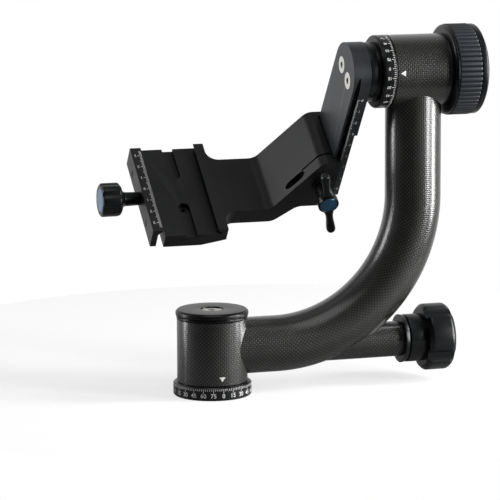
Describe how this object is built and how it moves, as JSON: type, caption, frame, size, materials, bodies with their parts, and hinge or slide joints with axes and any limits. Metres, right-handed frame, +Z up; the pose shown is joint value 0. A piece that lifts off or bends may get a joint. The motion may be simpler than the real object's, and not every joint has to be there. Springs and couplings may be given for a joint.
{
  "type": "gimbal tripod head",
  "caption": "J-shaped carbon arm that pans on a round base and carries a swinging dovetail rail with a height-adjustable cradle, plate clamp and lock knobs.",
  "frame": {"origin": "centre of the base's bottom face, on the pan axis", "axes": "+Z up along the pan axis, +X towards the upright arm, -Y towards the viewer of the picture"},
  "size_m": [0.2327, 0.1294, 0.2305],
  "materials": {
    "carbon_fibre": "twill weave under a clear gloss coat",
    "black_anodised": "satin black anodised",
    "bare_aluminium": "turned",
    "steel": "nickel plated",
    "bearing_steel": "ground",
    "brass": "turned",
    "polymer": "self-lubricating polymer",
    "rubber_grip": "ribbed, matt",
    "blue_anodised": "blue anodised"
  },
  "bodies": {
    "base": {"pan_base": "black_anodised", "base_screws": "steel", "thread_insert": "steel", "pan_spindle": "bare_aluminium", "pan_bearing_inner_rings": "bearing_steel", "pan_bearing_balls": "bearing_steel", "pan_washer": "polymer", "pan_cap": "black_anodised", "cap_screw": "steel"},
    "arm": {"carbon_frame": "carbon_fibre", "pan_liner": "bare_aluminium", "pan_bearing_outer_rings": "bearing_steel", "lock_bush": "brass", "stub_collar": "black_anodised", "tilt_liner": "bare_aluminium", "tilt_bearing_outer_rings": "bearing_steel"},
    "pan_brake": {"brake_shoe": "polymer", "lock_rod": "steel"},
    "pan_lock_knob": {"lock_knob": "black_anodised", "lock_stud": "steel", "lock_knob_cap": "black_anodised"},
    "swing": {"tilt_shaft": "black_anodised", "tilt_dial": "black_anodised", "dial_screws": "steel", "tilt_bearing_inner_rings": "bearing_steel", "tilt_bearing_balls": "bearing_steel", "swing_rail": "black_anodised", "rail_screws": "steel", "rail_stop_pin": "steel", "tilt_stop_washer": "steel", "tilt_stop_screw": "steel"},
    "tilt_brake": {"tilt_brake_disc": "polymer"},
    "tilt_lock_knob": {"tilt_knob_core": "black_anodised", "tilt_grip": "rubber_grip", "tilt_knob_cap": "black_anodised"},
    "cradle": {"cradle": "black_anodised", "bed_screw": "steel", "lever_washer": "steel"},
    "jaw": {"clamp_jaw": "black_anodised", "jaw_guide_pins": "steel", "jaw_springs": "steel"},
    "clamp_knob": {"clamp_knob": "black_anodised", "clamp_screw": "steel", "clamp_knob_disc": "blue_anodised"},
    "lever": {"wing_lever": "black_anodised", "lever_stud": "steel", "lever_disc": "blue_anodised"}
  },
  "joints": [
    {"name": "pan_turn", "type": "hinge", "parent": "base", "child": "arm", "pos_m": [0, 0, 0.03], "axis": [0, 0, 1], "continuous": true},
    {"name": "pan_brake_slide", "type": "slide", "parent": "arm", "child": "pan_brake", "axis": [-1, 0, 0], "range_m": [-0.00025, 0.0005]},
    {"name": "pan_lock_turn", "type": "hinge", "parent": "pan_brake", "child": "pan_lock_knob", "pos_m": [0.14, 0, 0.0279], "axis": [-1, 0, 0], "range_deg": [-73, 145]},
    {"name": "tilt_turn", "type": "hinge", "parent": "arm", "child": "swing", "pos_m": [0.12, 0, 0.20135], "axis": [1, 0, 0], "continuous": true},
    {"name": "tilt_brake_slide", "type": "slide", "parent": "swing", "child": "tilt_brake", "axis": [-1, 0, 0], "range_m": [-0.000275, 0.0003]},
    {"name": "tilt_lock_turn", "type": "hinge", "parent": "tilt_brake", "child": "tilt_lock_knob", "pos_m": [0.165, 0, 0.20135], "axis": [-1, 0, 0], "range_deg": [-100, 110]},
    {"name": "cradle_slide", "type": "slide", "parent": "swing", "child": "cradle", "axis": [0, -0.6211, 0.7837], "range_m": [-0.008, 0.036]},
    {"name": "jaw_slide", "type": "slide", "parent": "cradle", "child": "jaw", "axis": [1, 0, 0], "range_m": [0, 0.0043]},
    {"name": "clamp_turn", "type": "hinge", "parent": "jaw", "child": "clamp_knob", "pos_m": [-0.045, 0.06671, 0.11718], "axis": [1, 0, 0], "range_deg": [0, 1550]},
    {"name": "lever_turn", "type": "hinge", "parent": "cradle", "child": "lever", "pos_m": [0.0828, 0.0245, 0.12214], "axis": [0, 0.7837, 0.6211], "range_deg": [-60, 90]}
  ],
  "couplings": [
    {"joint": "pan_lock_turn", "follows": "pan_brake_slide", "rad_per_m": 5026.5},
    {"joint": "tilt_lock_turn", "follows": "tilt_brake_slide", "rad_per_m": 6283.2},
    {"joint": "clamp_turn", "follows": "jaw_slide", "rad_per_m": 6283.2}
  ]
}
